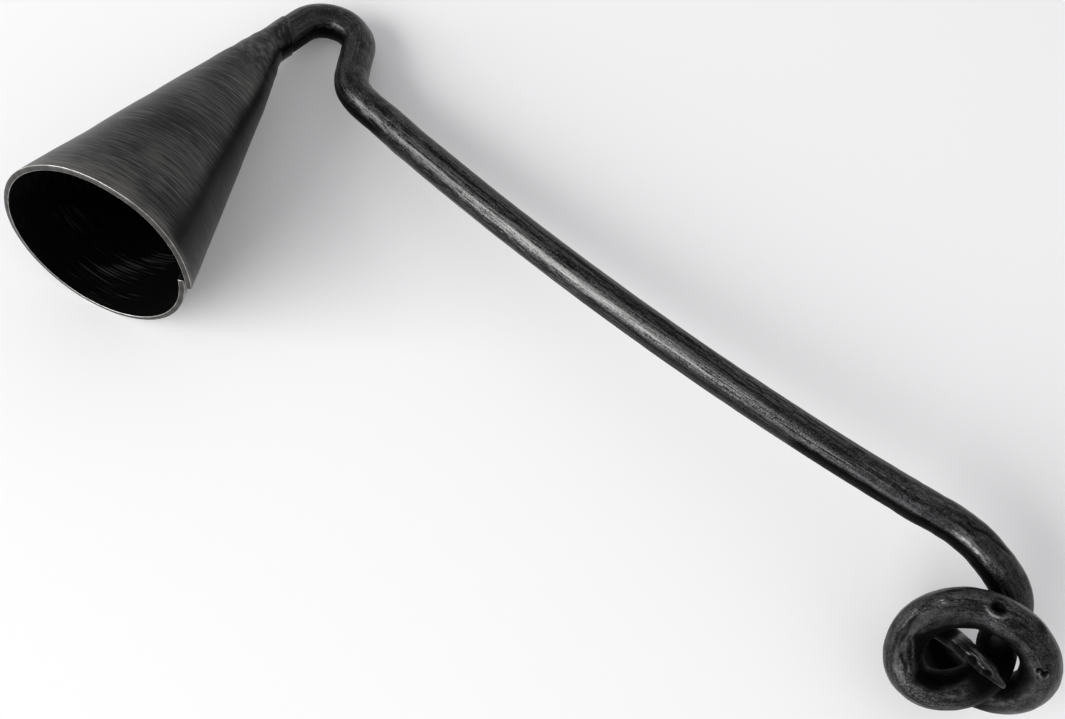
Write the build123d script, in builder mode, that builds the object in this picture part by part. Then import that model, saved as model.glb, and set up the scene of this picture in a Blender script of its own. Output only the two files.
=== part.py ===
from build123d import *
import math
import os

# A forged candle snuffer: a cone rolled from sheet iron on a round bar, whose far end is coiled into a knot.
# It is drawn mouth down, as it is used. X runs along the handle and Z rises from the mouth to the tip.
# The neck and the handle bend in the XZ plane. The finished snuffer is then laid on its side. Millimetres.

# Sheet cone
mouth_diameter = 32.0
cone_length = 47.0      # straight part, from the mouth to the shoulder
sheet_thickness = 0.9
shoulder_air = 2.4      # air between the tang and the sheet at the shoulder
seam_gap = 0.1          # air between the two layers of the lap at the mouth
seam_overlap = 1.2      # width of the lap at the mouth; it closes towards the tip
collar_clearance = 0.2  # air between the collar and the tang
collar_end = 7.1        # along the tang, from where it crosses the cone's axis
shoulder_sink = 0.08    # the shoulder runs this much into the ball under the collar

# Round bar, bent in the handle's plane
bar_diameter = 6.35
tang_diameter = 4.5     # end of the bar, reduced to fit the collar
tang_drop = 2.5         # from the shoulder down to the end of the tang
tang_lean = 13.6        # lean of the bar in the tip, towards the handle
tip_rise = 8.4          # from the shoulder to where the tang crosses the cone's axis
step_clearance = 0.1    # from the collar to the bar's step
neck_rise = 2.8         # straight bar above the step
neck_radius = 6.05
neck_turn = 150.7
drop_length = 7.0
crook_radius = 8.65
crook_turn = 51.8
handle_radius = 514.0
handle_turn = 13.4

# Knot: the bar turns down into an oval ring that climbs like a coil, and its drawn-out tail crosses the ring.
# Places are measured from the end of the handle.
turn_down = ((7.3, -1.1), (12.4, -3.4))     # two points in the handle's plane, along X and Z
ring_center = (14.8, 6.0, -22.0)
ring_roll = 20.9        # tilt of the ring across the handle
ring_pitch = 18.3       # tilt of the ring along the handle
ring_half_length = 9.95
ring_half_width = 9.25
ring_climb = 12.5
ring_start = 140.4      # angle from the handle's direction where the ring begins
ring_steps = 8
# Points before the ring's start and past its end, as turn from there, radius and height over the start
ring_entry = ((-222.0, 7.2, 12.3), (-186.5, 3.1, 8.9), (-138.4, 3.2, 6.6))
tail_route = ((22.3, 9.5, 9.8), (47.0, 3.2, 5.0), (69.1, 2.8, 3.4), (217.4, 5.8, 2.0))
tail_waist = 0.4        # share of the tail where the quick taper ends
tail_waist_diameter = 3.5
tail_diameter = 1.5
least_gap = 0.4         # least air between two passes of the bar

# Weld inside the tip
weld_clearance = 0.02   # to the sheet
weld_inset = 0.4        # below the shoulder
weld_height = 4.2

# Points used to lay it down and to measure the knot
settling_rounds = 12
settling_steps = 400
gap_steps = 200
gap_apart = 2.5 * bar_diameter

bar_radius = bar_diameter / 2
tang_radius = tang_diameter / 2
waist_radius = tail_waist_diameter / 2
tail_radius = tail_diameter / 2
mouth_bore = mouth_diameter / 2 - sheet_thickness
shoulder_bore = tang_radius + shoulder_air
collar_bore = tang_radius + collar_clearance
# The tucked quarter of the sheet is drawn round a centre moved by the tuck, and turns past the sheet's start.
tuck = (mouth_diameter / 2 - (mouth_bore - seam_gap) ** 2 * 2 / mouth_diameter) / 2
tuck_turn = 90 + math.degrees(math.asin(tuck / (mouth_bore - tuck)) + seam_overlap / (mouth_bore - tuck))


def bore_at(height):
    # radius of the sheet's inner face in the straight part of the cone
    return mouth_bore + (shoulder_bore - mouth_bore) * height / cone_length


def sheet_section(bore, plane):
    # One slice of the rolled sheet: three quarters round, then a tighter arc that tucks the end under the start.
    with BuildSketch(plane) as section:
        with BuildLine():
            inner = [CenterArc((0, 0), bore, -90 * quarter, -90) for quarter in range(3)]
            outer = [CenterArc((0, 0), bore + sheet_thickness, -90 * quarter, -90) for quarter in range(3)]
            inner_tuck = CenterArc((0, tuck), bore - tuck, 90, -tuck_turn)
            outer_tuck = CenterArc((0, tuck), bore - tuck + sheet_thickness, 90, -tuck_turn)
            Line(inner[0] @ 0, outer[0] @ 0)
            Line(inner_tuck @ 1, outer_tuck @ 1)
        make_face()
    return section.sketch


def weld_section(height):
    # Filling of the bore at that height, round the tucked end.
    fill = bore_at(height) - weld_clearance
    with BuildSketch(Plane.XY.offset(height)) as section:
        with BuildLine():
            quarters = [CenterArc((0, 0), fill, -90 * quarter, -90) for quarter in range(3)]
            last = CenterArc((0, tuck), fill - tuck, 90, -tuck_turn)
            Line(last @ 1, quarters[0] @ 0)
        make_face()
    return section.sketch


def biarc(start, start_direction, end, end_direction):
    # Two arcs that leave and arrive along the given directions and meet smoothly between.
    span = end - start
    along = span.dot(start_direction + end_direction)
    bend = 2 * (1 - start_direction.dot(end_direction))
    reach = (math.sqrt(along**2 + bend * span.dot(span)) - along) / bend
    near = start + start_direction * reach
    far = end - end_direction * reach
    middle = (near + far) / 2
    TangentArc(start, middle, tangent=start_direction)
    TangentArc(middle, end, tangent=far - near)


def directions(points, first):
    # Smooth direction of travel at each point; the last one ends its arc evenly.
    travel = [first]
    for before, here, after in zip(points, points[1:], points[2:]):
        come = here - before
        go = after - here
        travel.append((come / come.length**2 + go / go.length**2).normalized())
    chord = (points[-1] - points[-2]).normalized()
    travel.append(chord * (2 * chord.dot(travel[-1])) - travel[-1])
    return travel


# Bar in the handle's plane, from the tang to the end of the handle
lean = math.radians(tang_lean)
tang_axis = Vector(math.sin(lean), 0, math.cos(lean))
tang_across = Vector(math.cos(lean), 0, -math.sin(lean))
tang_crossing = Vector(0, 0, cone_length + tip_rise)
tang_end = tang_crossing - tang_axis * ((tip_rise + tang_drop) / math.cos(lean))
collar_plane = Plane(tang_crossing, x_dir=tang_across, z_dir=(0, -1, 0))
step_place = tang_crossing + tang_axis * (collar_end + step_clearance)
with BuildLine(Plane.XZ) as handle_line:
    root = Line(step_place, step_place + tang_axis * neck_rise)
    neck = JernArc(root @ 1, root % 1, neck_radius, -neck_turn)
    drop = PolarLine(neck @ 1, drop_length, direction=neck % 1)
    crook = JernArc(drop @ 1, drop % 1, crook_radius, crook_turn)
    handle = JernArc(crook @ 1, crook % 1, handle_radius, handle_turn)

# Stations of the knot: the turn down, the way into the ring, the ring and the tail
roll = math.radians(ring_roll)
pitch = math.radians(ring_pitch)
ring_normal = Vector(math.sin(pitch), math.cos(pitch) * math.sin(roll), math.cos(pitch) * math.cos(roll))
ring_across = Vector(1, 0, 0) - ring_normal * ring_normal.X
knot_start = handle @ 1
ring_plane = Plane(knot_start + Vector(*ring_center), x_dir=ring_across, z_dir=ring_normal)


def ring_point(angle, half_length, half_width, height):
    turn = math.radians(angle)
    return ring_plane.from_local_coords(Vector(half_length * math.cos(turn), half_width * math.sin(turn), height))


stations = [knot_start]
for along, height in turn_down:
    stations.append(knot_start + Vector(along, 0, height))
for turn, radius, height in ring_entry:
    stations.append(ring_point(ring_start + turn, radius, radius, height))
for step in range(ring_steps + 1):
    share = step / ring_steps
    stations.append(ring_point(ring_start + 360 * share, ring_half_length, ring_half_width, ring_climb * share))
tail_first = len(stations) - 1
for turn, radius, height in tail_route:
    stations.append(ring_point(ring_start + turn, radius, radius, height))
travel = directions(stations, handle % 1)

with BuildLine() as knot_line:
    for index in range(tail_first):
        biarc(stations[index], travel[index], stations[index + 1], travel[index + 1])
with BuildLine() as tail_line:
    for index in range(tail_first, len(stations) - 1):
        biarc(stations[index], travel[index], stations[index + 1], travel[index + 1])

knot_wire = knot_line.wire()
tail_wire = tail_line.wire()
tail_sections = []
for share, radius in ((0, bar_radius), (tail_waist, waist_radius), (1, tail_radius)):
    with BuildSketch(Plane(tail_wire @ share, z_dir=tail_wire % share)) as section:
        Circle(radius)
    tail_sections.append(section.sketch)

with BuildPart() as handle_rod:
    with BuildSketch(Plane(tang_end, z_dir=tang_axis)) as tang_section:
        Circle(tang_radius)
    extrude(amount=(step_place - tang_end).length)
    with BuildSketch(Plane(step_place, z_dir=tang_axis)):
        Circle(bar_radius)
    sweep(path=handle_line.edges() + knot_line.edges())
    sweep(sections=tail_sections, path=tail_wire, multisection=True)

# Rolled sheet: lapped cone, then the shoulder and the collar, closed round the leaning tang
shoulder_plane = Plane.XY.offset(cone_length)
with BuildPart() as snuffer_cone:
    loft([sheet_section(mouth_bore, Plane.XY), sheet_section(shoulder_bore, shoulder_plane)], ruled=True)
    for wall, mode in ((sheet_thickness, Mode.ADD), (0, Mode.SUBTRACT)):
        with BuildSketch(Plane.XZ) as shoulder:
            Polygon(
                (0, cone_length),
                (shoulder_bore + wall, cone_length),
                (collar_bore + wall - shoulder_sink, tang_crossing.Z),
                (0, tang_crossing.Z),
                align=None,
            )
        revolve(axis=Axis.Z, mode=mode)
        with BuildSketch(collar_plane) as collar:
            with BuildLine():
                spine = Line((0, -collar_bore - wall), (0, collar_end))
                head = Line(spine @ 1, (collar_bore + wall, collar_end))
                side = Line(head @ 1, (collar_bore + wall, 0))
                TangentArc(side @ 1, spine @ 0, tangent=(0, -1))
            make_face()
        revolve(axis=Axis(tang_crossing, tang_axis), mode=mode)

# Weld that fills the tip round the end of the tang
weld_top = cone_length - weld_inset
weld_bottom = weld_top - weld_height
with BuildPart() as weld_fillet:
    loft([weld_section(weld_bottom), weld_section(weld_top)], ruled=True)
    extrude(tang_section.sketch, amount=(step_place - tang_end).length, mode=Mode.SUBTRACT)

# Laid on its side: the rim, the neck and the knot each touch the table with their lowest point
rim_points = [Vector(mouth_diameter / 2, 0, 0).rotate(Axis.Z, degree) for degree in range(360)]
neck_points = [neck @ (step / settling_steps) for step in range(settling_steps + 1)]
knot_points = [knot_wire @ (step / settling_steps) for step in range(settling_steps + 1)]
up = Vector(0, -1, 0)
for _ in range(settling_rounds):
    rim_rest = min(rim_points, key=up.dot)
    neck_rest = min(neck_points, key=up.dot) - up * bar_radius
    knot_rest = min(knot_points, key=up.dot) - up * bar_radius
    up = (knot_rest - rim_rest).cross(neck_rest - rim_rest).normalized()
table = Plane(rim_rest, x_dir=Vector(1, 0, 0) - up * up.X, z_dir=up)

pieces = {"snuffer_cone": snuffer_cone, "handle_rod": handle_rod, "weld_fillet": weld_fillet}
for piece in pieces.values():
    piece.part.move(table.location.inverse())
reach = Compound([piece.part for piece in pieces.values()]).bounding_box()
middle = Location((-reach.center().X, -reach.center().Y, -reach.min.Z))

os.makedirs("parts", exist_ok=True)
for name, piece in pieces.items():
    piece.part.move(middle)
    piece.part.label = name
    export_step(piece.part, f"parts/{name}.step")
    print(name, len(piece.part.solids()), "solid,", round(piece.part.volume), "cubic mm")
laid = middle * table.location.inverse()
rim_middle = Plane(laid * Location((-mouth_bore - sheet_thickness / 2, 0, 0)))
print("rim", rim_middle.origin, "facing", -rim_middle.z_dir)

# Least air between two passes of the bar, measured on points along the knot and the tail
passes = []
for step in range(gap_steps + 1):
    share = step / gap_steps
    passes.append((knot_wire @ share, knot_wire.length * share, bar_radius))
    before = min(share / tail_waist, 1)
    after = max((share - tail_waist) / (1 - tail_waist), 0)
    radius = bar_radius + (waist_radius - bar_radius) * before + (tail_radius - waist_radius) * after
    passes.append((tail_wire @ share, knot_wire.length + tail_wire.length * share, radius))
gap = min(
    (a - b).length - a_radius - b_radius
    for a, a_place, a_radius in passes
    for b, b_place, b_radius in passes
    if b_place - a_place > gap_apart
)
print(f"least gap between passes {gap:.2f} mm, wanted {least_gap} mm or more")
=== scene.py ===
import math

import bpy
from mathutils import Matrix, Vector, noise
from mathutils.geometry import interpolate_bezier


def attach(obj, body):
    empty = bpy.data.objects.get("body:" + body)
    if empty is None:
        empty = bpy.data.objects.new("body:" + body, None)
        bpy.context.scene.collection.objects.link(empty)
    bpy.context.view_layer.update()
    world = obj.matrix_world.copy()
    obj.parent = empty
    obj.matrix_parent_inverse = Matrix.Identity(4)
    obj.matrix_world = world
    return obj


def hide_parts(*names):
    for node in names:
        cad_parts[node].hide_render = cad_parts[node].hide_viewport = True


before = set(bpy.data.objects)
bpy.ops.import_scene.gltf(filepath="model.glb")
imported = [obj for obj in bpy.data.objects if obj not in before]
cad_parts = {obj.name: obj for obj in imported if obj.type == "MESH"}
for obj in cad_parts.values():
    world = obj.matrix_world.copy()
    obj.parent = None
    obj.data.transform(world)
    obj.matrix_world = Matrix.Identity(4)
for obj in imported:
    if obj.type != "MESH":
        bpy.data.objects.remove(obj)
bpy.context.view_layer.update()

# Blackened candle snuffer lying on a white table: rolled sheet cone, bent bar, coiled knot.
# Shapes are drawn in millimetres with the mouth down, then laid on the table like the solids.
scene = bpy.context.scene
scene.view_settings.view_transform = "Standard"
mm = 0.001

lying = {
    "mouth": (-75.216, -31.583, 15.724),      # middle of the mouth, mm
    "up": (0.045888, -0.981695, -0.184851),   # table's up, seen from the drawing
}

# pairs of socket names that a look's low and high value go to
fromRange = ("From Min", "From Max")
toRange = ("To Min", "To Max")
bumpRange = ("Strength", "Distance")


def layDown():
    up = Vector(lying["up"]).normalized()
    along = (Vector((1, 0, 0)) - up * up.x).normalized()
    turn = Matrix((along, up.cross(along), up)).to_4x4()
    return Matrix.Translation(Vector(lying["mouth"]) * mm) @ turn @ Matrix.Scale(mm, 4)


def hexColor(code):
    channels = [int(code[i:i + 2], 16) / 255 for i in (1, 3, 5)]
    return [c / 12.92 if c <= 0.04045 else ((c + 0.055) / 1.055) ** 2.4 for c in channels] + [1]


def addNode(tree, kind, settings=None, **links):
    # settings are node properties, or sockets by name or number; a link named in0 goes to socket number 0
    node = tree.nodes.new(kind)
    for name, value in (settings or {}).items():
        if isinstance(name, int) or name in node.inputs:
            node.inputs[name].default_value = value
        else:
            setattr(node, name, value)
    for name, source in links.items():
        socket = int(name[2:]) if name.startswith("in") else name.replace("_", " ")
        tree.links.new(source, node.inputs[socket])
    return node


def newMaterial(name):
    material = bpy.data.materials.new(name)
    material.use_nodes = True
    material.node_tree.nodes.clear()
    return material, material.node_tree


def smoothStep(low, high, value):
    t = min(max((value - low) / (high - low), 0), 1)
    return t * t * (3 - 2 * t)


def softSpan(low, high, outside, inside, value):
    # 1 between low and high, fading at both ends from some way inside to some way outside
    rise = smoothStep(low - outside, low + inside, value)
    return rise * (1 - smoothStep(high - inside, high + outside, value))


def turnFrom(middle, angle):
    # signed turn between two angles, -180 to 180 degrees
    return (angle - middle + 180) % 360 - 180


def meshPiece(name, node, points, faces, materials, spaceName, space, masks=None):
    # space holds each point's own place on the piece, in mm, for the patterns; masks are shares, 0 to 1
    mesh = bpy.data.meshes.new(name)
    mesh.from_pydata(points, [], faces)
    layer = mesh.attributes.new(spaceName, "FLOAT_VECTOR", "POINT")
    layer.data.foreach_set("vector", [c for value in space for c in value])
    for maskName, values in (masks or {}).items():
        layer = mesh.attributes.new(maskName, "FLOAT", "POINT")
        layer.data.foreach_set("value", values)
    mesh.transform(layDown())
    mesh.shade_smooth()
    for material in materials:
        mesh.materials.append(material)
    piece = bpy.data.objects.new(name, mesh)
    scene.collection.objects.link(piece)
    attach(piece, "root")
    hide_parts(node)
    return piece


# Hot-rolled round bar, blackened in oil and waxed: black with a soft wax shine, rolling lines along it,
# grey bare iron where handling has rubbed the black away and as painted highlights where the lamp reflects,
# dull near-black iron as painted shade underneath, in front of the neck and inside the knot's bends, and dark
# scale in its pits and seams.
def waxedBarIron():
    look = {
        "scaleAndShade": "#0a0a0a", "crust": "#1a1a1b", "black": "#4c4c4d", "bare": "#737270",
        # width and length in mm, detail and roughness of the noise
        "fineLines": (0.22, 7.0, 3.0, 0.6), "broadLines": (0.55, 40.0, 3.0, 0.6),     # left by the rolls
        "blotch": (0.9, 2.2, 5.0, 0.7),           # hammered skin in the forged bends
        "grain": 0.28, "grainShare": 0.8,         # scale grain, mm, drawn coarse to show; its part in the skin
        "waxed": (1.2, 1.6),                      # skin heights from dull crust to waxed black
        "rubbed": (1.62, 2.3), "wearAndHighlightShare": 0.5,  # skin heights from black to bare; what full wear and painted highlight add
        "roughness": (0.24, 0.46), "scaleRoughness": 0.25,
        "bump": (0.7, 0.0001),                    # strength, and depth in metres
    }
    material, tree = newMaterial("bar iron, hot-rolled, oil-blackened and waxed")
    place = addNode(tree, "ShaderNodeAttribute", {"attribute_name": "barSpace"}).outputs["Vector"]
    worn, scaledAndShaded, forged = [addNode(tree, "ShaderNodeAttribute", {"attribute_name": name}).outputs["Fac"]
                            for name in ("barWearAndHighlight", "barScaleAndShade", "barForged")]
    layers = []
    for pattern in ("fineLines", "broadLines", "blotch"):
        width, length, detail, rough = look[pattern]
        stretch = addNode(tree, "ShaderNodeVectorMath", {"operation": "MULTIPLY", 1: (width / length, 1, 1)},
                          in0=place)
        layer = addNode(tree, "ShaderNodeTexNoise", {"Scale": 1 / width, "Detail": detail, "Roughness": rough},
                        Vector=stretch.outputs[0])
        layers.append(layer.outputs[0])
    fine, broad, blotch = layers
    grain = addNode(tree, "ShaderNodeTexNoise", {"Scale": 1 / look["grain"], "Detail": 3.0}, Vector=place)
    lines = addNode(tree, "ShaderNodeMath", {"operation": "ADD"}, in0=fine, in1=broad)
    double = addNode(tree, "ShaderNodeMath", {"operation": "ADD"}, in0=blotch, in1=blotch)
    worked = addNode(tree, "ShaderNodeMix", {"data_type": "FLOAT"},
                     in0=forged, in2=lines.outputs[0], in3=double.outputs[0])
    skin = addNode(tree, "ShaderNodeMath", {"operation": "MULTIPLY_ADD", 1: look["grainShare"]},
                   in0=grain.outputs[0], in2=worked.outputs[0])
    # lines and grain run from dull crust to waxed black, and the crests turn bare first; the wear mask also
    # carries painted highlights
    waxed = addNode(tree, "ShaderNodeMapRange", dict(zip(fromRange, look["waxed"])), Value=skin.outputs[0])
    crest = addNode(tree, "ShaderNodeMath", {"operation": "MULTIPLY_ADD", 1: look["wearAndHighlightShare"]},
                    in0=worn, in2=skin.outputs[0])
    rubbed = addNode(tree, "ShaderNodeMapRange", dict(zip(fromRange, look["rubbed"])), Value=crest.outputs[0])
    tones = {"data_type": "RGBA", 6: hexColor(look["crust"]), 7: hexColor(look["black"])}
    ground = addNode(tree, "ShaderNodeMix", tones, in0=waxed.outputs[0])
    # lighter bare iron for wear from handling and for painted highlights
    handledAndLit = addNode(tree, "ShaderNodeMix", {"data_type": "RGBA", 7: hexColor(look["bare"])},
                      in0=rubbed.outputs[0], in6=ground.outputs[2])
    # painted shade, and dark scale in pits and seams, turn the colour near-black
    colour = addNode(tree, "ShaderNodeMix", {"data_type": "RGBA", 7: hexColor(look["scaleAndShade"])},
                     in0=scaledAndShaded, in6=handledAndLit.outputs[2])
    shine = addNode(tree, "ShaderNodeMapRange", dict(zip(toRange, look["roughness"])), Value=grain.outputs[0])
    dull = addNode(tree, "ShaderNodeMath", {"operation": "MULTIPLY_ADD", 1: look["scaleRoughness"]},
                   in0=scaledAndShaded, in2=shine.outputs[0])
    bump = addNode(tree, "ShaderNodeBump", dict(zip(bumpRange, look["bump"])), Height=skin.outputs[0])
    shader = addNode(tree, "ShaderNodeBsdfPrincipled", {"Metallic": 1.0},
                     Base_Color=colour.outputs[2], Roughness=dull.outputs[0], Normal=bump.outputs[0])
    addNode(tree, "ShaderNodeOutputMaterial", Surface=shader.outputs[0])
    return material


# Sheet iron, oil-blackened, then scratch-brushed round the cone: fine grey lines across a black ground,
# and a sheen that runs along the cone, across the brush lines.
def brushedSheetIron():
    look = {
        # the near-black tone is painted shade, laid in the strip down the handle's side
        "scaleAndShade": "#101010", "black": "#2c2c2d", "scratch": "#878581",
        "line": (0.28, 8.0),                      # brush lines: width, drawn coarse to show, and length, mm
        "strokes": (0, 7),                        # how the two sets of strokes cross, degrees
        "patch": 14.0, "patchShare": 0.5,         # cloudy patches in mm, and their part in the wear
        "blotch": 1.4,                            # hammered skin of the tip, mm
        "rimWear": (3.6, 0.11),                   # band rubbed lighter above the mouth: mm, and amount
        "brushed": (0.71, 1.12),                  # wear from black to bare
        "roughness": (0.30, 0.44), "anisotropic": 0.7,
        "bump": (0.45, 0.00006),                  # strength, and depth in metres
    }
    material, tree = newMaterial("sheet iron, oil-blackened and scratch-brushed")
    place = addNode(tree, "ShaderNodeAttribute", {"attribute_name": "sheetSpace"}).outputs["Vector"]
    scaledAndShaded, forged = [addNode(tree, "ShaderNodeAttribute", {"attribute_name": name}).outputs["Fac"]
                      for name in ("sheetScale", "sheetForged")]
    width, length = look["line"]
    strokes = []
    for degrees in look["strokes"]:
        turned = addNode(tree, "ShaderNodeMapping", {"Rotation": (0, 0, math.radians(degrees))}, Vector=place)
        stretch = addNode(tree, "ShaderNodeVectorMath", {"operation": "MULTIPLY", 1: (width / length, 1, 1)},
                          in0=turned.outputs[0])
        stroke = addNode(tree, "ShaderNodeTexNoise", {"Scale": 1 / width, "Detail": 5.0, "Roughness": 0.65},
                         Vector=stretch.outputs[0])
        strokes.append(stroke.outputs[0])
    lines = addNode(tree, "ShaderNodeMath", {"operation": "MAXIMUM"}, in0=strokes[0], in1=strokes[1])
    patches = addNode(tree, "ShaderNodeTexNoise", {"Scale": 1 / look["patch"], "Detail": 3.0}, Vector=place)
    blotch = addNode(tree, "ShaderNodeTexNoise", {"Scale": 1 / look["blotch"], "Detail": 5.0, "Roughness": 0.7},
                     Vector=place)
    skin = addNode(tree, "ShaderNodeMix", {"data_type": "FLOAT"},
                   in0=forged, in2=lines.outputs[0], in3=blotch.outputs[0])
    worn = addNode(tree, "ShaderNodeMath", {"operation": "MULTIPLY_ADD", 1: look["patchShare"]},
                   in0=patches.outputs[0], in2=skin.outputs[0])
    # the wear fades from the rim upwards
    up = addNode(tree, "ShaderNodeSeparateXYZ", Vector=place).outputs["Y"]
    rimHeight, rimAmount = look["rimWear"]
    rim = addNode(tree, "ShaderNodeMapRange", {"From Max": rimHeight, "To Min": rimAmount, "To Max": 0.0},
                  Value=up)
    rubbed = addNode(tree, "ShaderNodeMath", {"operation": "ADD"}, in0=worn.outputs[0], in1=rim.outputs[0])
    brushed = addNode(tree, "ShaderNodeMapRange", dict(zip(fromRange, look["brushed"])),
                      Value=rubbed.outputs[0])
    tones = {"data_type": "RGBA", 6: hexColor(look["black"]), 7: hexColor(look["scratch"])}
    ground = addNode(tree, "ShaderNodeMix", tones, in0=brushed.outputs[0])
    # the painted shade strip turns the brushed colour near-black
    colour = addNode(tree, "ShaderNodeMix", {"data_type": "RGBA", 7: hexColor(look["scaleAndShade"])},
                     in0=scaledAndShaded, in6=ground.outputs[2])
    shine = addNode(tree, "ShaderNodeMapRange", dict(zip(toRange, look["roughness"])), Value=patches.outputs[0])
    bump = addNode(tree, "ShaderNodeBump", dict(zip(bumpRange, look["bump"])), Height=skin.outputs[0])
    along = addNode(tree, "ShaderNodeTangent", {"direction_type": "UV_MAP", "uv_map": "sheetMap"})
    shader = addNode(tree, "ShaderNodeBsdfPrincipled", {"Metallic": 1.0, "Anisotropic": look["anisotropic"]},
                     Base_Color=colour.outputs[2], Roughness=shine.outputs[0],
                     Normal=bump.outputs[0], Tangent=along.outputs[0])
    addNode(tree, "ShaderNodeOutputMaterial", Surface=shader.outputs[0])
    return material


# Inside of the cone, smoked by candle flames: dull black soot with a few scratches that shine through.
def sootedSheetIron():
    look = {
        "soot": "#101011", "scratch": "#5e5d5b",
        "line": (0.30, 11.0),                     # scratches: width, drawn coarse to show, and length, mm
        "patch": 12.0,                            # where scratches gather, mm
        "scratched": (0.31, 0.45),                # wear from soot to bare
        "roughness": 0.55,
        "bump": (0.4, 0.00005),                   # strength, and depth in metres
    }
    material, tree = newMaterial("sheet iron, sooted inside")
    place = addNode(tree, "ShaderNodeAttribute", {"attribute_name": "sheetSpace"}).outputs["Vector"]
    width, length = look["line"]
    stretch = addNode(tree, "ShaderNodeVectorMath", {"operation": "MULTIPLY", 1: (width / length, 1, 1)},
                      in0=place)
    lines = addNode(tree, "ShaderNodeTexNoise", {"Scale": 1 / width, "Detail": 4.0, "Roughness": 0.6},
                    Vector=stretch.outputs[0])
    patches = addNode(tree, "ShaderNodeTexNoise", {"Scale": 1 / look["patch"], "Detail": 2.0}, Vector=place)
    worn = addNode(tree, "ShaderNodeMath", {"operation": "MULTIPLY"},
                   in0=lines.outputs[0], in1=patches.outputs[0])
    scratched = addNode(tree, "ShaderNodeMapRange", dict(zip(fromRange, look["scratched"])),
                        Value=worn.outputs[0])
    tones = {"data_type": "RGBA", 6: hexColor(look["soot"]), 7: hexColor(look["scratch"])}
    colour = addNode(tree, "ShaderNodeMix", tones, in0=scratched.outputs[0])
    bump = addNode(tree, "ShaderNodeBump", dict(zip(bumpRange, look["bump"])), Height=lines.outputs[0])
    shader = addNode(tree, "ShaderNodeBsdfPrincipled", {"Metallic": 1.0, "Roughness": look["roughness"]},
                     Base_Color=colour.outputs[2], Normal=bump.outputs[0])
    addNode(tree, "ShaderNodeOutputMaterial", Surface=shader.outputs[0])
    return material


# Cut edge of the sheet, filed flat: grey file marks, with a bright burr along its corners.
# Each edge has its bare and its dull tone.
filedEdges = {
    "sheet iron edge, filed": ("#565553", "#3a3938"),
    "sheet iron burr, filed bare": ("#c2c0bc", "#7f7d7a"),
}


def filedEdgeIron(name):
    look = {
        "scaleAndShade": "#343434",
        "mark": 1.6,                              # patches left by the file, mm
        "filed": (0.3, 0.7),                      # wear from dull to bare
        "roughness": 0.4,
        "bump": (0.2, 0.00004),                   # strength, and depth in metres
    }
    bareTone, dullTone = filedEdges[name]
    material, tree = newMaterial(name)
    place = addNode(tree, "ShaderNodeAttribute", {"attribute_name": "sheetSpace"}).outputs["Vector"]
    scaledAndShaded, forged = [addNode(tree, "ShaderNodeAttribute", {"attribute_name": mask}).outputs["Fac"]
                      for mask in ("sheetScale", "sheetForged")]
    # the forged tip, and the painted shade strip, take the dark tone
    black = addNode(tree, "ShaderNodeMath", {"operation": "MAXIMUM"}, in0=scaledAndShaded, in1=forged)
    fileMarks = addNode(tree, "ShaderNodeTexNoise", {"Scale": 1 / look["mark"], "Detail": 3.0}, Vector=place)
    filed = addNode(tree, "ShaderNodeMapRange", dict(zip(fromRange, look["filed"])), Value=fileMarks.outputs[0])
    tones = {"data_type": "RGBA", 6: hexColor(dullTone), 7: hexColor(bareTone)}
    edge = addNode(tree, "ShaderNodeMix", tones, in0=filed.outputs[0])
    colour = addNode(tree, "ShaderNodeMix", {"data_type": "RGBA", 7: hexColor(look["scaleAndShade"])},
                     in0=black.outputs[0], in6=edge.outputs[2])
    bump = addNode(tree, "ShaderNodeBump", dict(zip(bumpRange, look["bump"])), Height=fileMarks.outputs[0])
    shader = addNode(tree, "ShaderNodeBsdfPrincipled", {"Metallic": 1.0, "Roughness": look["roughness"]},
                     Base_Color=colour.outputs[2], Normal=bump.outputs[0])
    addNode(tree, "ShaderNodeOutputMaterial", Surface=shader.outputs[0])
    return material


# Weld bead left as it ran: sooty black with a lumpy skin and a dull shine on its ripples.
def sootyWeldIron():
    look = {
        "soot": "#141413", "slag": "#2e2c2a",
        "lump": 0.8,                              # lumps of slag, mm
        "roughness": (0.35, 0.6),
        "bump": (0.5, 0.0002),                    # strength, and depth in metres
    }
    material, tree = newMaterial("weld bead, sooty")
    place = addNode(tree, "ShaderNodeAttribute", {"attribute_name": "weldSpace"}).outputs["Vector"]
    lumps = addNode(tree, "ShaderNodeTexNoise", {"Scale": 1 / look["lump"], "Detail": 4.0}, Vector=place)
    tones = {"data_type": "RGBA", 6: hexColor(look["soot"]), 7: hexColor(look["slag"])}
    colour = addNode(tree, "ShaderNodeMix", tones, in0=lumps.outputs[0])
    shine = addNode(tree, "ShaderNodeMapRange", dict(zip(toRange, look["roughness"])), Value=lumps.outputs[0])
    bump = addNode(tree, "ShaderNodeBump", dict(zip(bumpRange, look["bump"])), Height=lumps.outputs[0])
    shader = addNode(tree, "ShaderNodeBsdfPrincipled", {"Metallic": 1.0},
                     Base_Color=colour.outputs[2], Roughness=shine.outputs[0], Normal=bump.outputs[0])
    addNode(tree, "ShaderNodeOutputMaterial", Surface=shader.outputs[0])
    return material


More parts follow.
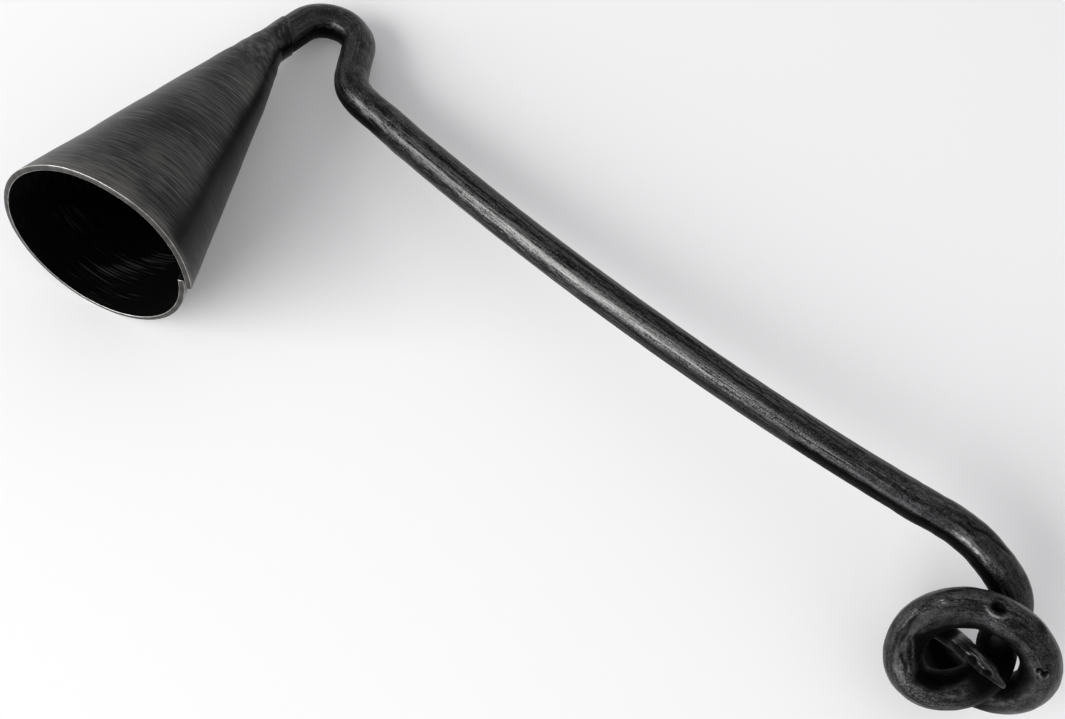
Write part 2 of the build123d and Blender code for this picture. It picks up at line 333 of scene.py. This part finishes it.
# Lengths in mm and turns in degrees. The ring's points are a turn from its start, a radius and a height.
bar = {
    "diameter": 6.35,
    "tang": 4.5, "tangStart": (-2.637, 44.5), "tangLean": 13.6,     # reduced end, inside the cone's tip
    "step": (1.693, 62.398), "stepRound": (0.25, 0.05),             # start of the full bar, and its soft edge
    "collarCut": (3.4, 1.5),                  # the collar and the step slant: drop, and its curve
    "neckRise": 2.8, "drop": 7.0,
    "neck": (6.05, 150.7), "crook": (8.65, 51.8), "handle": (514.0, 13.4),     # radius and turn
    "bendStep": 40,                           # turn of one stretch of a bend
    "turnDown": ((7.3, -1.1), (12.4, -3.4)),
    "ringCentre": (14.8, 6.0, -22.0), "ringRoll": 20.9, "ringPitch": 18.3,
    "ringHalves": (9.95, 9.25), "ringClimb": 12.5, "ringStart": 140.4, "ringSteps": 8,
    "ringEntry": ((-222.0, 7.2, 12.3), (-186.5, 3.1, 8.9), (-138.4, 3.2, 6.6)),
    "tailRoute": ((22.3, 9.5, 9.8), (47.0, 3.2, 5.0), (69.1, 2.8, 3.4), (217.4, 5.8, 2.0)),
    "tailTaper": ((0.0, 3.175), (0.2, 2.35), (0.4, 1.75), (0.8, 1.2), (1.0, 0.35)),     # tail's share, radius
    # amount, and the shares of the tail between which it grows
    "tailFlat": (0.3, 0.1, 0.5),              # share of the thickness hammered off
    "tailSpread": (0.08, 0.35, 0.7),          # share that it spread sideways
    "tailTorn": (0.55, 0.45, 0.85),           # height of the torn skin
    "tailSide": -62, "tornSize": 1.2,         # side that the hammer struck, and size of the torn marks
    "ringSpacing": 0.22, "segments": 108,     # mesh rings
    "bendReach": 8,                           # a bend is judged this many rings each way
}

# Marks are placed by the distance along the bar in mm and the angle round it, 0 on top as it lies, 90 in front.
marks = {
    "rolled": (0.045, 70.0, 0.5),             # lengthwise flats from the rolls: height, length, width
    "hammered": ((0, 20, 0.05), (20, 62, 0.13), (62, 160, 0.035), (160, 330, 0.13)),     # from, to, height
    "hammerSize": 4.2, "hammerFine": (0.4, 1.4),     # main marks, and finer ones: share of the height, and size
    "hammerBlend": 0.04,                      # share of a change in height that each mesh ring takes up
    "forgedFull": 0.24,                       # hammer height at which no rolling lines are left
    # place, angle, radius, depth; the first is the crater on top of the ring, and bumps have a depth below 0
    "pits": (
        (242.1, -36, 1.35, 0.85), (252.8, 26, 0.62, 0.6), (253.5, 13, 0.7, 0.65), (247.6, -46, 1.3, 0.3),
        (235.6, -45, 0.9, -0.22), (30.0, 56, 1.6, -0.16), (183.6, 60, 2.0, -0.2),
        (304.6, -28, 0.8, 1.3), (302.0, -18, 1.0, 1.1),
        (125.0, -6, 0.5, 0.12), (131.0, -2, 0.7, 0.12), (137.5, 2, 0.6, 0.12), (146.0, 4, 0.8, 0.12),
        (151.5, -3, 0.5, 0.12), (228.0, 8, 0.6, 0.2), (212.0, 30, 0.8, 0.18), (262.0, 60, 0.9, 0.2),
    ),
    "pitReach": 2,                            # a pit and its lip end within this many radii
    "pitLip": (1.15, 0.2, 0.12, 2.4),         # place and width in radii, height and painted highlight for each mm of depth
    "pitDark": (0.15, 0.5), "pitFloor": 0.6,  # depths between which a pit turns dark, and where its wall begins
    # open seams in the scale: start place and angle, end place and angle, half width, depth
    "seams": (
        (178, 17, 187.5, -12, 0.3, 0.3), (222, 22, 233, -42, 0.3, 0.3), (224.5, 34, 228, 12, 0.22, 0.2),
        (116, -8, 157, 4, 0.17, 0.12), (112, 14, 152, 18, 0.14, 0.08), (122, 4, 166, 9, 0.13, 0.09),
        (128, -17, 162, -9, 0.15, 0.10), (134, 22, 170, 27, 0.12, 0.08), (66, 12, 118, 16, 0.13, 0.08),
        (64, 78, 116, 80, 0.14, 0.09), (70, 100, 108, 97, 0.12, 0.08), (204, -20, 218, -34, 0.2, 0.15),
    ),
    "seamWander": ((2.5, 0.5, 0), (0.8, 0.15, 5)),     # length and width in mm, and layer of the noise
    "seamBreaks": (3.0, -0.3, 9),             # length in mm, noise where it closes, and layer of the noise
    "seamEnds": 0.08, "seamDark": 0.9,        # share that fades at each end, and share of dark scale in it
    # painted shade, laid as dull near-black iron in front, underneath and inside the knot, and over a lamp
    # highlight on the knot: from, to, angle, half angle, share
    "scaledAndShaded": (
        (11, 41, 116, 47, 1), (40, 60, 96, 22, 1), (148, 206, 104, 32, 1), (200, 212, 45, 110, 1),
        (106, 150, 102, 32, 0.5), (223, 241, 2, 32, 0.6), (266, 289, 80, 110, 1), (289, 308, 22, 48, 0.9),
    ),
    "shadeWander": (2.0, 30, 3),              # mm along, degrees round, and layer of the noise
    "shadeEnds": (2, 3), "shadeEdge": 5,      # fading out and in at its ends, mm, and at its sides, degrees
    "ringShade": (200, 300, 0.0, 0.52),      # painted shade on the inside of the knot's bends: from, to, how far it faces in
    "ringEnds": (4, 4), "ringWander": 0.12,
    # wear from handling and painted highlights where the lamp reflects, both as lighter bare iron: place,
    # angle, half length, half angle, amount
    "worn": (
        (100, 42, 56, 34, 1.0), (100, 92, 34, 12, 0.55), (55, 52, 7, 20, 0.9),
        (182.5, 59, 5.0, 6, 1.1), (184.3, 60, 0.8, 5, 1.7),
        (219, 8, 5, 38, 0.6), (30, 56, 2.5, 14, 0.6), (248, -55, 9, 22, 0.45), (36, 2, 12, 14, 0.3),
        (300, -85, 8, 34, 0.7), (299, -34, 6, 8, 1.3), (96, -135, 40, 30, 0.5), (60, -150, 20, 30, 0.4),
        (142, -2, 22, 26, 1.0), (168, 18, 10, 30, 0.7), (240, -42, 11, 24, 0.65), (84, -2, 30, 20, 0.8),
        (150, 50, 12, 16, 0.8),
    ),
}


def pitMarks(place, angle, size):
    # height over the plain round bar, the painted highlight on its near lip, and how dark it is
    height = worn = sunk = 0.0
    lipPlace, lipWidth, lipHeight, lipHighlight = marks["pitLip"]
    for markPlace, markAngle, reach, depth in marks["pits"]:
        if abs(place - markPlace) >= marks["pitReach"] * reach:
            continue
        aside = math.radians(turnFrom(markAngle, angle)) * size
        t = math.hypot(place - markPlace, aside) / reach
        if t < 1:
            height -= depth * (1 - t * t) ** 1.5
        if depth > 0:
            lip = depth * math.exp(-((t - lipPlace) / lipWidth) ** 2)
            height += lipHeight * lip
            worn = max(worn, lipHighlight * lip * smoothStep(0, 1, aside / reach))     # the near lip gets a painted highlight
            floor = 1 - smoothStep(marks["pitFloor"], 1, t)
            sunk = max(sunk, smoothStep(*marks["pitDark"], depth) * floor)
    return height, worn, sunk


def seamMarks(place, angle, size):
    # height over the plain round bar, and how dark it is
    height = sunk = 0.0
    breakLength, breakBelow, breakLayer = marks["seamBreaks"]
    for aPlace, aAngle, bPlace, bAngle, half, depth in marks["seams"]:
        if not aPlace < place < bPlace:
            continue
        share = (place - aPlace) / (bPlace - aPlace)
        middle = aAngle + (bAngle - aAngle) * share
        aside = math.radians(turnFrom(middle, angle)) * size
        for length, width, layer in marks["seamWander"]:
            aside -= width * noise.noise(Vector((place / length, aAngle, layer)))
        broken = smoothStep(breakBelow, 0, noise.noise(Vector((place / breakLength, bAngle, breakLayer))))
        fade = min(smoothStep(0, marks["seamEnds"], share), 1 - smoothStep(1 - marks["seamEnds"], 1, share))
        groove = broken * fade * math.exp(-(aside / half) ** 2)
        height -= depth * groove
        sunk = max(sunk, marks["seamDark"] * groove)
    return height, sunk


# share of lighter bare iron: wear from handling, and painted highlights where the lamp reflects
def handWearAndHighlight(place, angle):
    worn = 0.0
    for markPlace, markAngle, half, spread, amount in marks["worn"]:
        turn = turnFrom(markAngle, angle)
        worn = max(worn, amount * math.exp(-((place - markPlace) / half) ** 4 - (turn / spread) ** 2))
    return worn


def paintedShadeCover(place, angle, facing):
    # share of painted shade, laid as dull near-black iron, 0 to 1; facing is 1 on the inside of a bend
    cover = 0.0
    wanderLength, wanderTurn, wanderLayer = marks["shadeWander"]
    wander = noise.noise(Vector((place / wanderLength, angle / wanderTurn, wanderLayer)))
    edge = marks["shadeEdge"]
    for low, high, middle, half, share in marks["scaledAndShaded"]:
        turn = abs(turnFrom(middle, angle)) + edge * wander
        ends = softSpan(low, high, *marks["shadeEnds"], place)
        cover = max(cover, share * ends * (1 - smoothStep(half - edge, half + edge, turn)))
    low, high, least, full = marks["ringShade"]
    ends = softSpan(low, high, *marks["ringEnds"], place)
    return max(cover, ends * smoothStep(least, full, facing + marks["ringWander"] * wander))


def hammerHeight(place):
    for low, high, height in marks["hammered"]:
        if low <= place < high:
            return height
    return 0.0


def skinRelief(spot, hammered, torn, thinned):
    # hammer marks, flats from the rolls and torn skin; spot is on the plain bar, thinned is the share left
    rolledHeight, rolledLength, rolledWidth = marks["rolled"]
    fineShare, fineSize = marks["hammerFine"]
    relief = hammered * noise.noise(spot / marks["hammerSize"])
    relief += hammered * fineShare * noise.noise(spot / fineSize)
    rolled = Vector((spot.x / rolledLength, spot.y / rolledWidth, spot.z / rolledWidth))
    relief += rolledHeight * noise.noise(rolled)
    return relief + torn * noise.noise(Vector((spot.x, spot.y * thinned, spot.z * thinned)) / bar["tornSize"])


def barStations():
    # points and directions along the bar, from the tang to the tip of the tail
    heading = math.radians(90 - bar["tangLean"])
    stations = []

    def put(x, z):
        stations.append((Vector((x, 0, z)), Vector((math.cos(heading), 0, math.sin(heading)))))

    x, z = bar["tangStart"]
    put(x, z)
    x, z = bar["step"]
    put(x, z)
    for stretch, sense in (("neckRise", 0), ("neck", -1), ("drop", 0), ("crook", 1), ("handle", 1)):
        if sense == 0:
            x += bar[stretch] * math.cos(heading)
            z += bar[stretch] * math.sin(heading)
            put(x, z)
            continue
        radius, turn = bar[stretch]
        parts = max(2, round(turn / bar["bendStep"]))
        for _ in range(parts):
            step = sense * math.radians(turn / parts)
            x += sense * radius * (math.sin(heading + step) - math.sin(heading))
            z -= sense * radius * (math.cos(heading + step) - math.cos(heading))
            heading += step
            put(x, z)
    start, startWay = stations[-1]
    roll = math.radians(bar["ringRoll"])
    pitch = math.radians(bar["ringPitch"])
    normal = Vector((math.sin(pitch), math.cos(pitch) * math.sin(roll), math.cos(pitch) * math.cos(roll)))
    across = (Vector((1, 0, 0)) - normal * normal.x).normalized()
    side = normal.cross(across)
    centre = start + Vector(bar["ringCentre"])

    def ringPoint(turn, halfLength, halfWidth, height):
        angle = math.radians(bar["ringStart"] + turn)
        flat = across * (halfLength * math.cos(angle)) + side * (halfWidth * math.sin(angle))
        return centre + flat + normal * height

    points = [start] + [start + Vector((x, 0, z)) for x, z in bar["turnDown"]]
    points += [ringPoint(turn, radius, radius, height) for turn, radius, height in bar["ringEntry"]]
    for step in range(bar["ringSteps"] + 1):
        share = step / bar["ringSteps"]
        points.append(ringPoint(360 * share, *bar["ringHalves"], bar["ringClimb"] * share))
    tailAt = len(stations) + len(points) - 2
    points += [ringPoint(turn, radius, radius, height) for turn, radius, height in bar["tailRoute"]]
    ways = [startWay]
    for before, here, after in zip(points, points[1:], points[2:]):
        come = here - before
        go = after - here
        ways.append((come / come.length_squared + go / go.length_squared).normalized())
    chord = (points[-1] - points[-2]).normalized()
    ways.append(2 * chord.dot(ways[-1]) * chord - ways[-1])
    return stations + list(zip(points, ways))[1:], tailAt


def barLine():
    # the same route as one smooth run of Bezier pieces, with the distance along it
    stations, tailAt = barStations()
    leastBend = 1e-4      # a straight stretch is handled as a very slight arc
    line = []
    tailPoint = 0
    for index, ((a, aWay), (b, bWay)) in enumerate(zip(stations, stations[1:])):
        if index == tailAt:
            tailPoint = len(line)
        chord = (b - a).length
        bend = max(aWay.angle(bWay), leastBend)
        reach = chord * (4 / 3) * math.tan(bend / 4) / (2 * math.sin(bend / 2))     # handle of a round arc
        count = max(3, round(chord / bar["ringSpacing"]))
        line += interpolate_bezier(a, a + aWay * reach, b - bWay * reach, b, count + 1)[:-1]
    line.append(stations[-1][0])
    places = [0.0]
    for a, b in zip(line, line[1:]):
        places.append(places[-1] + (b - a).length)
    return line, places, places[tailPoint]


def collarDrop(facing):
    # facing is 1 on the handle's side of the tang and -1 on the far side
    drop, curve = bar["collarCut"]
    return drop * ((1 + facing) / 2) ** curve


def barRadius(share):
    # share of the tail that lies behind, below 0 before the tail
    radius = bar["diameter"] / 2
    for (aShare, aRadius), (bShare, bRadius) in zip(bar["tailTaper"], bar["tailTaper"][1:]):
        if aShare <= share:
            radius = aRadius + (bRadius - aRadius) * (min(share, 1) - aShare) / (bShare - aShare)
    return radius


def buildBar(material):
    line, places, tailStart = barLine()
    total = places[-1]
    last = len(line) - 1
    radius = bar["diameter"] / 2
    tang = bar["tang"] / 2
    count = bar["segments"]
    reachOut = bar["bendReach"]
    before, past = bar["stepRound"]
    stepPlace = (Vector(bar["step"]) - Vector(bar["tangStart"])).length
    points, space, wearAndHighlight, scaledAndShaded, forged, faces = [], [], [], [], [], []
    out = Vector((0, -1, 0))
    hammered = 0.0
    for i, (here, place) in enumerate(zip(line, places)):
        way = (line[min(i + 1, last)] - line[max(i - 1, 0)]).normalized()
        out = (out - way * out.dot(way)).normalized()
        side = way.cross(out)
        inside = (line[max(i - reachOut, 0)] + line[min(i + reachOut, last)] - here * 2).normalized()
        share = (place - tailStart) / (total - tailStart)
        full = barRadius(share)
        flat, spread, torn = [amount * smoothStep(low, high, share)
                              for amount, low, high in (bar["tailFlat"], bar["tailSpread"], bar["tailTorn"])]
        hammered += (hammerHeight(place) - hammered) * marks["hammerBlend"]
        for j in range(count):
            angle = 360 * j / count
            turn = math.radians(angle)
            spot = Vector((place, radius * math.cos(turn), radius * math.sin(turn)))
            step = stepPlace - collarDrop(math.sin(turn))
            size = tang + (full - tang) * smoothStep(step - before, step + past, place)
            pitHeight, pitLipHighlight, pitSunk = pitMarks(place, angle, size)
            seamHeight, seamSunk = seamMarks(place, angle, size)
            height = skinRelief(spot, hammered, torn, size / radius)
            if place >= step:
                height += pitHeight + seamHeight
            reach = size + height * size / radius
            struck = abs(math.cos(turn - math.radians(bar["tailSide"])))
            reach *= 1 - flat * struck ** 3 + spread * (1 - struck ** 2)
            outward = out * math.cos(turn) + side * math.sin(turn)
            points.append(here + outward * reach)
            space.append(spot)
            # lighter iron for wear and painted highlights; near-black for scale in pits and seams and for
            # painted shade
            wearAndHighlight.append(max(pitLipHighlight, handWearAndHighlight(place, angle)))
            scaledAndShaded.append(max(pitSunk, seamSunk, paintedShadeCover(place, angle, outward.dot(inside))))
            forged.append(min(hammered / marks["forgedFull"], 1))
    for i in range(last):
        for j in range(count):
            k = (j + 1) % count
            faces.append((i * count + j, i * count + k, (i + 1) * count + k, (i + 1) * count + j))
    faces.append(tuple(reversed(range(count))))
    faces.append(tuple(range(last * count, last * count + count)))
    masks = {"barWearAndHighlight": wearAndHighlight, "barScaleAndShade": scaledAndShaded, "barForged": forged}
    meshPiece("bentBar", "handle_rod", points, faces, [material], "barSpace", space, masks)
    print("bar", len(line), "rings,", round(total, 1), "mm long, tail from", round(tailStart, 1))


# Lengths in mm. The sheet is rolled from its outer end at the handle's side round to its tucked end.
cone = {
    "mouth": 32.0, "length": 47.0, "sheet": 0.9, "shoulderAir": 2.4,
    "seamGap": 0.1, "seamOverlap": 1.2, "slit": 0.1,     # air in the lap, its width, the closed slit
    "collarAir": 0.2, "tipRise": 8.4, "collarStart": 0.6, "collarEnd": 7.1,
    "around": 220, "rows": (120, 24, 26),      # mesh rows of the straight cone, the shoulder and the collar
    "rolledWaves": (0.10, 9.0), "dents": (0.03, 3.5),     # height and size
    "seamLift": (0.22, 5.0),                   # the outer end of the sheet stands off: height and width
    "tip": (8, 3),                             # the hammered tip starts before the shoulder and is full past it
    "tipHammer": (0.16, 2.6), "tipForged": 0.85,     # its marks: height and size; brush lines gone
    "collarRagged": (0.5, 1.4),                # uneven end of the collar: height, and how fast it changes
    "collarLip": (0.9, 0.7),                   # share of the collar where its lip starts, and how bare
    "shadeStrip": (31, 32, 10, 0.92),          # painted shade, a strip where the cone mirrors the handle and its shadow: angle, reach each way, amount
    "stripTip": (-0.5, 1.5),                   # share by which its angle and its reach change towards the tip
    "stripWander": (4, 6), "stripStart": 1.5,  # its wandering, degrees and size; start above the rim
    "burr": (0.14, 2, 50),                     # filed corners: width, steps, and least angle
    "mapSize": 100,                            # length of one unit of the unrolled map
}

mouthBore = cone["mouth"] / 2 - cone["sheet"]
shoulderBore = bar["tang"] / 2 + cone["shoulderAir"]
collarBore = bar["tang"] / 2 + cone["collarAir"]
# the tucked quarter is drawn round a centre moved by this much, so that its end lies under the sheet's start
tuck = (cone["mouth"] / 2 - (mouthBore - cone["seamGap"]) ** 2 * 2 / cone["mouth"]) / 2


def sheetBore(height, turn):
    # inner face of the straight cone at that height and angle from the seam
    bore = mouthBore + (shoulderBore - mouthBore) * height / cone["length"]
    if turn < math.pi / 2:
        return tuck * math.sin(turn) + math.sqrt((bore - tuck) ** 2 - (tuck * math.cos(turn)) ** 2)
    return bore


def sheetOutline(bore, closing):
    # outer face of one slice of the rolled sheet, from the outer end round to the tucked end
    # closing goes from 0, lapped, to 1, where the two ends meet
    lapTurn = math.asin(tuck / (mouthBore - tuck)) + cone["seamOverlap"] / (mouthBore - tuck)
    moved = tuck * (1 - closing)
    tuckTurn = math.pi / 2 + lapTurn * (1 - closing) - cone["slit"] * closing / bore
    roundLength = 1.5 * math.pi * bore
    wholeLength = roundLength + tuckTurn * (bore - moved)
    outline = []
    for i in range(cone["around"] + 1):
        along = wholeLength * i / cone["around"]
        if along <= roundLength:
            angle = -along / bore
            spot = Vector((math.cos(angle), math.sin(angle), 0)) * (bore + cone["sheet"])
        else:
            angle = math.pi / 2 - (along - roundLength) / (bore - moved)
            spot = Vector((math.cos(angle), math.sin(angle), 0)) * (bore - moved + cone["sheet"])
            spot += Vector((0, moved, 0))
        outline.append((spot, along))
    return outline


def sheetRelief(spot, along, nearTip):
    # uneven rolling and the lifted edge on the cone, hammer marks on its tip
    waveHeight, waveSize = cone["rolledWaves"]
    dentHeight, dentSize = cone["dents"]
    hammerHigh, hammerWide = cone["tipHammer"]
    liftHeight, liftWidth = cone["seamLift"]
    relief = noise.noise(spot / waveSize) * waveHeight * (1 - nearTip)
    relief += noise.noise(spot / dentSize) * dentHeight
    relief += noise.noise(spot / hammerWide) * hammerHigh * nearTip
    return relief + liftHeight * (1 - smoothStep(0, liftWidth, along)) * (1 - nearTip)


def shadeStripCover(spot, up, nearTip):
    # share of painted shade in the strip where the cone mirrors the handle and its shadow
    stripAngle, stripNear, stripFar, amount = cone["shadeStrip"]
    angleChange, reachChange = cone["stripTip"]
    wander, wanderSize = cone["stripWander"]
    turn = math.degrees(-math.atan2(spot.y, spot.x))
    aside = turn - stripAngle * (1 + angleChange * nearTip) + wander * noise.noise(spot / wanderSize)
    reach = (stripNear if aside < 0 else stripFar) * (1 + reachChange * nearTip)
    return amount * math.exp(-(aside / reach) ** 2) * smoothStep(0, cone["stripStart"], up)


def buildCone(materials):
    lean = math.radians(bar["tangLean"])
    axis = Vector((math.sin(lean), 0, math.cos(lean)))
    tilt = Matrix.Rotation(lean, 4, "Y")
    crossing = Vector((0, 0, cone["length"] + cone["tipRise"]))
    # bore, how far the lap has closed, and place of each slice that the sheet runs through
    stages = [
        (mouthBore, 0, Matrix.Identity(4)),
        (shoulderBore, 0, Matrix.Translation((0, 0, cone["length"]))),
        (collarBore, 1, Matrix.Translation(crossing + axis * cone["collarStart"]) @ tilt),
        (collarBore, 1, Matrix.Translation(crossing + axis * cone["collarEnd"]) @ tilt),
    ]
    tipBefore, tipPast = cone["tip"]
    raggedHeight, raggedRate = cone["collarRagged"]
    raggedStart = Vector((3, 1, 0))      # place in the noise
    lipStart, lipBare = cone["collarLip"]
    points, space, scaledAndShaded, forged, faces = [], [], [], [], []
    slant = 0.0
    rows = 0
    for stage, steps in enumerate(cone["rows"]):
        (aBore, aClosing, aPlace), (bBore, bClosing, bPlace) = stages[stage], stages[stage + 1]
        run = (bPlace.translation - aPlace.translation).length
        onCollar = stage == len(cone["rows"]) - 1
        aOutline = sheetOutline(aBore, aClosing)
        bOutline = sheetOutline(bBore, bClosing)
        for step in range(steps + (1 if onCollar else 0)):
            share = step / steps
            up = slant + share * run
            nearTip = smoothStep(cone["length"] - tipBefore, cone["length"] + tipPast, up)
            lip = smoothStep(lipStart, 1, share) if onCollar else 0
            for (a, aAlong), (b, bAlong) in zip(aOutline, bOutline):
                spot = (aPlace @ a).lerp(bPlace @ b, share)
                along = aAlong + (bAlong - aAlong) * share
                outward = Vector((spot.x, spot.y, 0)).normalized()
                if onCollar:
                    ragged = raggedHeight * noise.noise(outward * raggedRate + raggedStart)
                    spot += axis * (share * (ragged - collarDrop(a.normalized().x)))
                points.append(spot + outward * sheetRelief(spot, along, nearTip))
                space.append((along, up, 0))
                # painted shade where the cone mirrors the handle and its shadow
                scaledAndShaded.append(shadeStripCover(spot, up, nearTip))
                forged.append(cone["tipForged"] * nearTip * (1 - lipBare * lip))
            rows += 1
        slant += run
    width = cone["around"] + 1
    for i in range(rows - 1):
        for j in range(width - 1):
            faces.append((i * width + j, (i + 1) * width + j, (i + 1) * width + j + 1, i * width + j + 1))
    masks = {"sheetScale": scaledAndShaded, "sheetForged": forged}
    piece = meshPiece("rolledCone", "snuffer_cone", points, faces, materials,
                      "sheetSpace", space, masks)
    # the map runs up the cone first, so that the sheen crosses the brush lines
    unrolled = piece.data.uv_layers.new(name="sheetMap")
    for corner in piece.data.loops:
        along, up, _ = space[corner.vertex_index]
        unrolled.data[corner.index].uv = (up / cone["mapSize"], along / cone["mapSize"])
    # materials in order: outside, inside, cut edge, burr
    thick = piece.modifiers.new("sheetThickness", "SOLIDIFY")
    thick.thickness = cone["sheet"] * mm
    thick.offset = -1
    thick.use_even_offset = True
    thick.material_offset = 1
    thick.material_offset_rim = 2
    burrWidth, burrSteps, burrAngle = cone["burr"]
    soft = piece.modifiers.new("filedEdges", "BEVEL")
    soft.width = burrWidth * mm
    soft.segments = burrSteps
    soft.limit_method = "ANGLE"
    soft.angle_limit = math.radians(burrAngle)
    soft.material = 3
    print("cone", rows, "rows of", width)


weldBead = {
    "top": 46.6, "bottom": 42.8, "air": 0.02,     # heights in the cone, and air to the sheet, mm
    "run": (3.7, 1.3, 0.8),                       # radius of its circle, half width and height, mm
    "ripples": (24, 0.12, 2),                     # across the run: count, height in mm, and how they curve
    "lump": (1.7, 0.2),                           # lumps: size and height, mm
    "edge": 0.5,                                  # the run and its lumps fade out towards the sheet, mm
    "topMiddle": 0.06, "faceMiddle": 0.01,        # innermost rings, as shares of the bore
    "rings": 36, "segments": 120,
}


def weldDrop(spot, turn, radius, lowRadius):
    # how far the weld run and its lumps stand down from the flat face
    runRadius, runHalf, runHeight = weldBead["run"]
    rippleCount, rippleHeight, rippleCurve = weldBead["ripples"]
    lumpSize, lumpHeight = weldBead["lump"]
    aside = ((radius - runRadius) / runHalf) ** 2
    ripple = math.sin(rippleCount * turn + rippleCurve * aside)
    run = math.exp(-aside) * (runHeight + rippleHeight * ripple)
    lump = lumpHeight * noise.noise(spot / lumpSize)
    return smoothStep(0, weldBead["edge"], lowRadius - radius) * (run + lump)


def buildWeld(material):
    top = weldBead["top"]
    bottom = weldBead["bottom"]
    lowRadius = sheetBore(bottom, math.pi)
    count = weldBead["segments"]
    rings = weldBead["rings"]
    # share of the bore, and height: over the top, down the side, then in across the face
    rim = [(weldBead["topMiddle"], top), (1, top), (1, bottom)]
    face = [(1 - (1 - weldBead["faceMiddle"]) * i / rings, bottom) for i in range(1, rings + 1)]
    points, faces = [], []
    for index, (share, height) in enumerate(rim + face):
        for j in range(count):
            turn = 2 * math.pi * j / count
            reach = share * (sheetBore(height, turn) - weldBead["air"])
            spot = Vector((reach * math.cos(turn), reach * math.sin(turn), height))
            if index >= len(rim):
                spot.z -= weldDrop(spot, turn, lowRadius * share, lowRadius)
            points.append(spot)
    for i in range(len(rim) + len(face) - 1):
        for j in range(count):
            k = (j + 1) % count
            faces.append((i * count + j, (i + 1) * count + j, (i + 1) * count + k, i * count + k))
    faces.append(tuple(range(count)))
    faces.append(tuple(reversed(range(len(points) - count, len(points)))))
    space = [tuple(point) for point in points]
    meshPiece("weldRun", "weld_fillet", points, faces, [material], "weldSpace", space)
    print("weld", len(rim) + len(face), "rings of", count)


# White paper, matt: it shows white to the camera and in reflections, and still takes the soft shadow.
def buildTable():
    look = {"size": 4.0, "paper": "#f4f4f4", "glow": 0.06}     # metres, colour, and what is added for the eye
    half = look["size"] / 2
    corners = [(-half, -half, 0), (half, -half, 0), (half, half, 0), (-half, half, 0)]
    mesh = bpy.data.meshes.new("table")
    mesh.from_pydata(corners, [], [(0, 1, 2, 3)])
    table = bpy.data.objects.new("table", mesh)
    scene.collection.objects.link(table)
    material, tree = newMaterial("white paper table")
    rays = addNode(tree, "ShaderNodeLightPath")
    seen = addNode(tree, "ShaderNodeMath", {"operation": "MAXIMUM"},
                   in0=rays.outputs["Is Camera Ray"], in1=rays.outputs["Is Glossy Ray"])
    shown = addNode(tree, "ShaderNodeMath", {"operation": "MAXIMUM"},
                    in0=seen.outputs[0], in1=rays.outputs["Is Transmission Ray"])
    glow = addNode(tree, "ShaderNodeMath", {"operation": "MULTIPLY", 1: look["glow"]}, in0=shown.outputs[0])
    paper = addNode(tree, "ShaderNodeBsdfDiffuse", {"Color": hexColor(look["paper"])})
    light = addNode(tree, "ShaderNodeEmission", Strength=glow.outputs[0])
    both = addNode(tree, "ShaderNodeAddShader", in0=paper.outputs[0], in1=light.outputs[0])
    addNode(tree, "ShaderNodeOutputMaterial", Surface=both.outputs[0])
    mesh.materials.append(material)
    print("table laid")


def buildLights():
    # one large soft box stands low at the front left; the room is pale at the horizon and dim overhead
    box = {"at": (-0.95, -1.27, 0.65), "aim": (0, 0, 0.01), "size": (1.9, 1.18), "watts": 47.0}
    room = {"horizon": "#dcdcde", "ceiling": "#a6a6a8"}
    data = bpy.data.lights.new("softBox", "AREA")
    data.shape = "RECTANGLE"
    data.size, data.size_y = box["size"]
    data.energy = box["watts"]
    lamp = bpy.data.objects.new("softBox", data)
    lamp.location = box["at"]
    lamp.rotation_euler = (Vector(box["aim"]) - lamp.location).to_track_quat("-Z", "Y").to_euler()
    scene.collection.objects.link(lamp)
    world = bpy.data.worlds.new("pale room")
    world.use_nodes = True
    tree = world.node_tree
    way = addNode(tree, "ShaderNodeTexCoord").outputs["Generated"]
    height = addNode(tree, "ShaderNodeSeparateXYZ", Vector=way).outputs["Z"]
    tones = {"data_type": "RGBA", 6: hexColor(room["horizon"]), 7: hexColor(room["ceiling"])}
    shade = addNode(tree, "ShaderNodeMix", tones, in0=height)
    tree.links.new(shade.outputs[2], tree.nodes["Background"].inputs["Color"])
    scene.world = world
    print("lights set")


def buildCamera():
    view = {
        "at": (-10.58, -101.35, 183.71),                  # mm
        "right": (0.9037, 0.3727, 0.2108), "up": (-0.4275, 0.8118, 0.3978),
        "lens": 39.02, "sensor": 36, "nearest": 0.01,     # mm, mm, and metres
    }
    data = bpy.data.cameras.new("photo view")
    data.lens = view["lens"]
    data.sensor_width = view["sensor"]
    data.clip_start = view["nearest"]
    camera = bpy.data.objects.new("photo view", data)
    right = Vector(view["right"]).normalized()
    up = Vector(view["up"])
    up = (up - right * up.dot(right)).normalized()
    turn = Matrix((right, up, right.cross(up))).transposed().to_4x4()
    camera.matrix_world = Matrix.Translation(Vector(view["at"]) * mm) @ turn
    scene.collection.objects.link(camera)
    scene.camera = camera
    print("camera set")


buildBar(waxedBarIron())
buildCone([brushedSheetIron(), sootedSheetIron()] + [filedEdgeIron(name) for name in filedEdges])
buildWeld(sootyWeldIron())
buildTable()
buildLights()
buildCamera()
